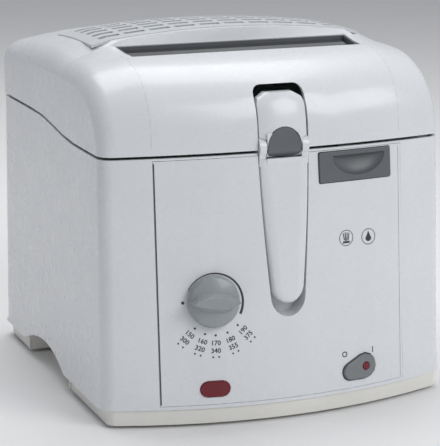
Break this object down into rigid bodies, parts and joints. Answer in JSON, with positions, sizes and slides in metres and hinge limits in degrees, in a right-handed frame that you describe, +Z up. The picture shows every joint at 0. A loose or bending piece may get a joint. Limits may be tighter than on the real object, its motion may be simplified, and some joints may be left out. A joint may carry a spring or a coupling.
{
  "type": "household deep fryer",
  "caption": "Compact household deep fryer with a bowed front, hinged crowned lid with window and filter, dial, rocker switch, and a lift-out basket with a folding handle.",
  "frame": {"origin": "middle of the bounding box in plan, on the surface that the feet stand on", "axes": "+X to the right seen from the front, -Y out of the front with the dial, +Z up"},
  "size_m": [0.2828, 0.32, 0.2818],
  "materials": {
    "white_plastic": "satin moulded",
    "ivory_plastic": "fine matt",
    "grey_plastic": "fine matt",
    "bright_steel": "brushed",
    "black_plastic": "matt",
    "grey_rubber": "matt",
    "knob_plastic": "satin",
    "brass": "plain",
    "red_lens": "clear gloss",
    "lamp_glass": "clear",
    "switch_grey": "satin",
    "dark_nonstick": "dark non-stick coating",
    "bare_aluminium": "mill",
    "copper": "plain",
    "smoked_glass": "smoked, polished",
    "liner_aluminium": "satin",
    "seal_rubber": "matt",
    "cover_plastic": "satin",
    "filter_felt": "carbon felt"
  },
  "bodies": {
    "housing": {"casing": "white_plastic", "front_panel": "white_plastic", "base": "ivory_plastic", "foot_1": "grey_rubber", "foot_2": "grey_rubber", "foot_3": "grey_rubber", "foot_4": "grey_rubber", "base_screw_1": "bright_steel", "base_screw_2": "bright_steel", "base_screw_3": "bright_steel", "base_screw_4": "bright_steel", "rim_deck": "white_plastic", "oil_bowl": "dark_nonstick", "heating_element": "bright_steel", "heat_shield": "bare_aluminium", "sensor_bulb": "copper", "thermostat_body": "black_plastic", "thermostat_terminal_left": "brass", "thermostat_terminal_right": "brass", "pilot_lens": "red_lens", "pilot_lamp": "lamp_glass", "switch_body": "black_plastic", "mains_inlet": "black_plastic", "inlet_pin_left": "bright_steel", "inlet_pin_right": "bright_steel", "hinge_bracket": "white_plastic", "hinge_screw_left": "bright_steel", "hinge_screw_right": "bright_steel", "hinge_pin": "bright_steel"},
    "lid": {"lid_shell": "white_plastic", "window_frame": "grey_plastic", "window_pane": "smoked_glass", "lid_liner": "liner_aluminium", "lid_gasket": "seal_rubber", "lid_catch": "bright_steel", "filter_cartridge": "filter_felt", "filter_holder": "cover_plastic", "lid_hinge_arm": "white_plastic"},
    "cover": {"filter_cover": "cover_plastic"},
    "release": {"lid_release_button": "grey_plastic", "release_spring": "bright_steel"},
    "latch": {"latch_hook": "bright_steel"},
    "basket_body": {"basket": "bright_steel", "basket_bracket": "white_plastic", "bracket_rivet_left": "bright_steel", "bracket_rivet_right": "bright_steel", "handle_pin": "bright_steel"},
    "handle": {"folding_handle": "white_plastic"},
    "lock": {"handle_lock_button": "grey_plastic"},
    "dial": {"thermostat_knob": "knob_plastic", "thermostat_shaft": "bright_steel"},
    "rocker": {"power_switch": "switch_grey", "switch_indicator": "red_lens"}
  },
  "joints": [
    {"name": "lid_hinge", "type": "hinge", "parent": "housing", "child": "lid", "pos_m": [0, 0.155, 0.2115], "axis": [-1, 0, 0], "range_deg": [0, 85]},
    {"name": "cover_lift", "type": "slide", "parent": "lid", "child": "cover", "axis": [0, 0, 1], "range_m": [0, 0.03]},
    {"name": "release_press", "type": "slide", "parent": "housing", "child": "release", "axis": [-0.1004, 0.9906, -0.0932], "range_m": [0, 0.004], "stiffness_N_per_m": 600, "springref_m": -0.002},
    {"name": "latch_draw", "type": "slide", "parent": "housing", "child": "latch", "axis": [0, 1, 0], "range_m": [0, 0.004]},
    {"name": "basket_lift", "type": "slide", "parent": "housing", "child": "basket_body", "axis": [0, 0, 1], "range_m": [0, 0.004]},
    {"name": "handle_fold", "type": "hinge", "parent": "basket_body", "child": "handle", "pos_m": [0, -0.1302, 0.2045], "axis": [-1, 0, 0], "range_deg": [0, 90]},
    {"name": "handle_lock_press", "type": "slide", "parent": "basket_body", "child": "lock", "axis": [0, 1, 0], "range_m": [0, 0.0025], "stiffness_N_per_m": 600, "springref_m": -0.002},
    {"name": "knob_turn", "type": "hinge", "parent": "housing", "child": "dial", "pos_m": [-0.059, -0.14239, 0.0945], "axis": [0.1342, 0.9865, -0.0934], "range_deg": [0, 315]},
    {"name": "switch_rock", "type": "hinge", "parent": "housing", "child": "rocker", "pos_m": [0.05622, -0.14381, 0.03053], "axis": [-0.2197, 0.0585, 0.9738], "range_deg": [0, 8]}
  ],
  "couplings": [
    {"joint": "latch_draw", "follows": "release_press", "ratio": 1}
  ]
}
